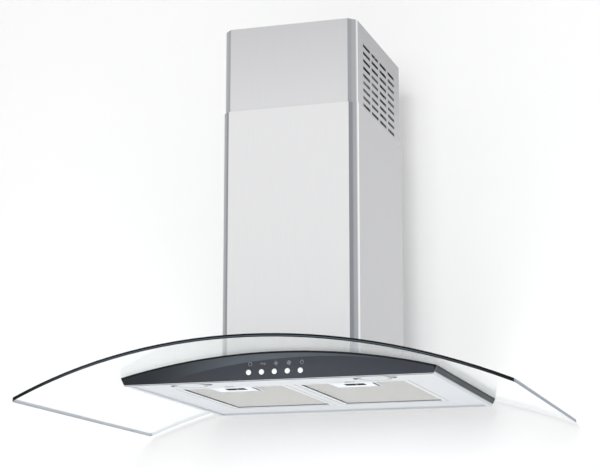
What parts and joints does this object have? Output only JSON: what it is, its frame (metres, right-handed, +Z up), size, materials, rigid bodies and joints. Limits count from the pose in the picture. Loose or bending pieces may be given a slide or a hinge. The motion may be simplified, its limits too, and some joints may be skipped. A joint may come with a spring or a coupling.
{
  "type": "island range hood",
  "caption": "Ceiling-hung range hood: bent glass canopy over a slim body with grease filters, lamps and push buttons, under a telescoping sheet-steel chimney.",
  "frame": {"origin": "middle of the four ceiling bolt holes, on the ceiling's face", "axes": "+X to the viewer's right, -Y to the front (fascia), +Z up into the ceiling"},
  "size_m": [0.9, 0.701, 0.7196],
  "materials": {
    "clear_glass": "polished, dark bevelled front edge",
    "dark_glass": "back-painted dark glass, gloss",
    "dark_trim": "dark gloss paint",
    "brushed_steel": "fine vertical brushing, satin",
    "panel_paint": "light silver-grey satin paint",
    "galvanised": "galvanised sheet, dull",
    "filter_aluminium": "satin aluminium",
    "latch_white": "satin",
    "black_plastic": "moulded, fine grain",
    "grey_plastic": "moulded, fine grain",
    "button_white": "gloss",
    "rubber_black": "matt",
    "fastener": "zinc plated",
    "frosted_glass": "frosted",
    "motor_metal": "cast and painted"
  },
  "bodies": {
    "hood": {"canopy_glass": "clear_glass", "glass_gasket": "rubber_black", "glass_screws": "fastener", "body_shell": "brushed_steel", "fascia": "dark_glass", "side_trim_left": "dark_trim", "side_trim_right": "dark_trim", "rear_panel": "brushed_steel", "bottom_panel": "panel_paint", "filter_catch_left": "galvanised", "filter_catch_right": "galvanised", "filter_hinge_brackets": "galvanised", "lamp_bezel_left": "brushed_steel", "lamp_bezel_right": "brushed_steel", "lamp_lens_left": "frosted_glass", "lamp_lens_right": "frosted_glass", "lamp_bulbs": "frosted_glass", "switch_block": "black_plastic", "button_spring_1": "fastener", "button_spring_2": "fastener", "button_spring_3": "fastener", "button_spring_4": "fastener", "button_spring_5": "fastener", "blower_box": "galvanised", "scroll_housing": "grey_plastic", "motor": "motor_metal", "motor_bracket": "galvanised", "capacitor": "latch_white", "terminal_box": "black_plastic", "exhaust_collar": "grey_plastic", "ceiling_plate": "galvanised", "frame_posts_lower": "galvanised", "frame_posts_upper": "galvanised", "frame_braces": "galvanised", "frame_screws": "fastener", "chimney_upper": "brushed_steel", "sleeve_guides": "latch_white", "chimney_screws": "fastener"},
    "lower_sleeve": {"chimney_lower": "brushed_steel"},
    "filter_left": {"filter_frame_left": "filter_aluminium", "filter_mesh_left": "filter_aluminium", "latch_plate_left": "latch_white", "latch_spring_left": "fastener"},
    "filter_right": {"filter_frame_right": "filter_aluminium", "filter_mesh_right": "filter_aluminium", "latch_plate_right": "latch_white", "latch_spring_right": "fastener"},
    "latch_left": {"latch_slider_left": "black_plastic"},
    "latch_right": {"latch_slider_right": "black_plastic"},
    "fan": {"impeller": "grey_plastic", "impeller_blades": "grey_plastic", "motor_shaft": "fastener"},
    "flap_front": {"damper_flap_front": "grey_plastic"},
    "flap_rear": {"damper_flap_rear": "grey_plastic"},
    "button_1_body": {"button_1": "button_white"},
    "button_2_body": {"button_2": "button_white"},
    "button_3_body": {"button_3": "button_white"},
    "button_4_body": {"button_4": "button_white"},
    "button_5_body": {"button_5": "button_white"}
  },
  "joints": [
    {"name": "button_1_press", "type": "slide", "parent": "hood", "child": "button_1_body", "axis": [0, 1, 0], "range_m": [0, 0.003], "stiffness_N_per_m": 300, "springref_m": -0.001, "deforming": ["button_spring_1"]},
    {"name": "button_2_press", "type": "slide", "parent": "hood", "child": "button_2_body", "axis": [0, 1, 0], "range_m": [0, 0.003], "stiffness_N_per_m": 300, "springref_m": -0.001, "deforming": ["button_spring_2"]},
    {"name": "button_3_press", "type": "slide", "parent": "hood", "child": "button_3_body", "axis": [0, 1, 0], "range_m": [0, 0.003], "stiffness_N_per_m": 300, "springref_m": -0.001, "deforming": ["button_spring_3"]},
    {"name": "button_4_press", "type": "slide", "parent": "hood", "child": "button_4_body", "axis": [0, 1, 0], "range_m": [0, 0.003], "stiffness_N_per_m": 300, "springref_m": -0.001, "deforming": ["button_spring_4"]},
    {"name": "button_5_press", "type": "slide", "parent": "hood", "child": "button_5_body", "axis": [0, 1, 0], "range_m": [0, 0.003], "stiffness_N_per_m": 300, "springref_m": -0.001, "deforming": ["button_spring_5"]},
    {"name": "filter_left_hinge", "type": "hinge", "parent": "hood", "child": "filter_left", "pos_m": [-0.114, 0.168, -0.675], "axis": [1, 0, 0], "range_deg": [0, 75], "deforming": ["filter_catch_left"]},
    {"name": "latch_left_slide", "type": "slide", "parent": "filter_left", "child": "latch_left", "axis": [0, 1, 0], "range_m": [0, 0.005], "stiffness_N_per_m": 250, "springref_m": -0.002, "deforming": ["latch_spring_left"]},
    {"name": "filter_right_hinge", "type": "hinge", "parent": "hood", "child": "filter_right", "pos_m": [0.114, 0.168, -0.675], "axis": [1, 0, 0], "range_deg": [0, 75], "deforming": ["filter_catch_right"]},
    {"name": "latch_right_slide", "type": "slide", "parent": "filter_right", "child": "latch_right", "axis": [0, 1, 0], "range_m": [0, 0.005], "stiffness_N_per_m": 250, "springref_m": -0.002, "deforming": ["latch_spring_right"]},
    {"name": "fan_spin", "type": "hinge", "parent": "hood", "child": "fan", "pos_m": [0, -0.04, -0.496], "axis": [1, 0, 0], "continuous": true},
    {"name": "flap_front_hinge", "type": "hinge", "parent": "hood", "child": "flap_front", "pos_m": [0, 0.04038, -0.342], "axis": [-1, 0, 0], "range_deg": [0, 78]},
    {"name": "flap_rear_hinge", "type": "hinge", "parent": "hood", "child": "flap_rear", "pos_m": [0, 0.04838, -0.342], "axis": [1, 0, 0], "range_deg": [0, 78]},
    {"name": "lower_sleeve_lift", "type": "slide", "parent": "hood", "child": "lower_sleeve", "axis": [0, 0, 1], "range_m": [0, 0.14]}
  ]
}
